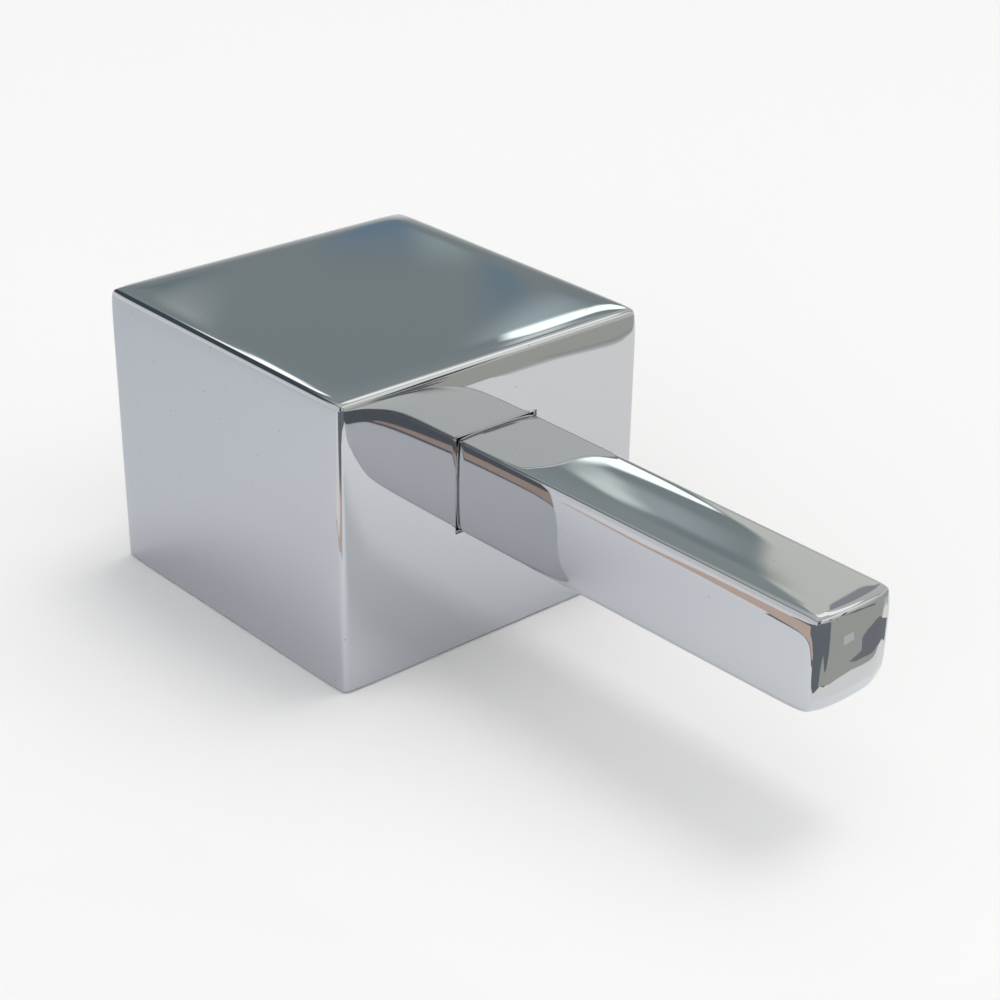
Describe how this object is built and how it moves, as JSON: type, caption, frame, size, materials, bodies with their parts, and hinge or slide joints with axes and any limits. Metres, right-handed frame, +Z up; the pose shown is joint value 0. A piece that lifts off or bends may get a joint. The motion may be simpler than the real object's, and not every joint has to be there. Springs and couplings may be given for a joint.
{
  "type": "replacement tap handle",
  "caption": "Cube-shaped chrome tap handle, hollow and open below, with a square lever at its front and a splined socket for the spindle.",
  "frame": {"origin": "on the spindle's axis, at the mouth of the spline bush", "axes": "+Z up the spindle's axis, away from the tap; the lever points along -Y; X is across the lever"},
  "size_m": [0.04, 0.088, 0.032],
  "materials": {
    "body_chrome": "bright plated",
    "lever_chrome": "bright plated",
    "bush_brass": "machined",
    "screw_steel": "plain hardened"
  },
  "bodies": {
    "root": {"handle_body": "body_chrome", "lever": "lever_chrome", "spline_bush": "bush_brass", "lever_set_screw": "screw_steel", "spindle_grub_screw": "screw_steel"}
  },
  "joints": []
}
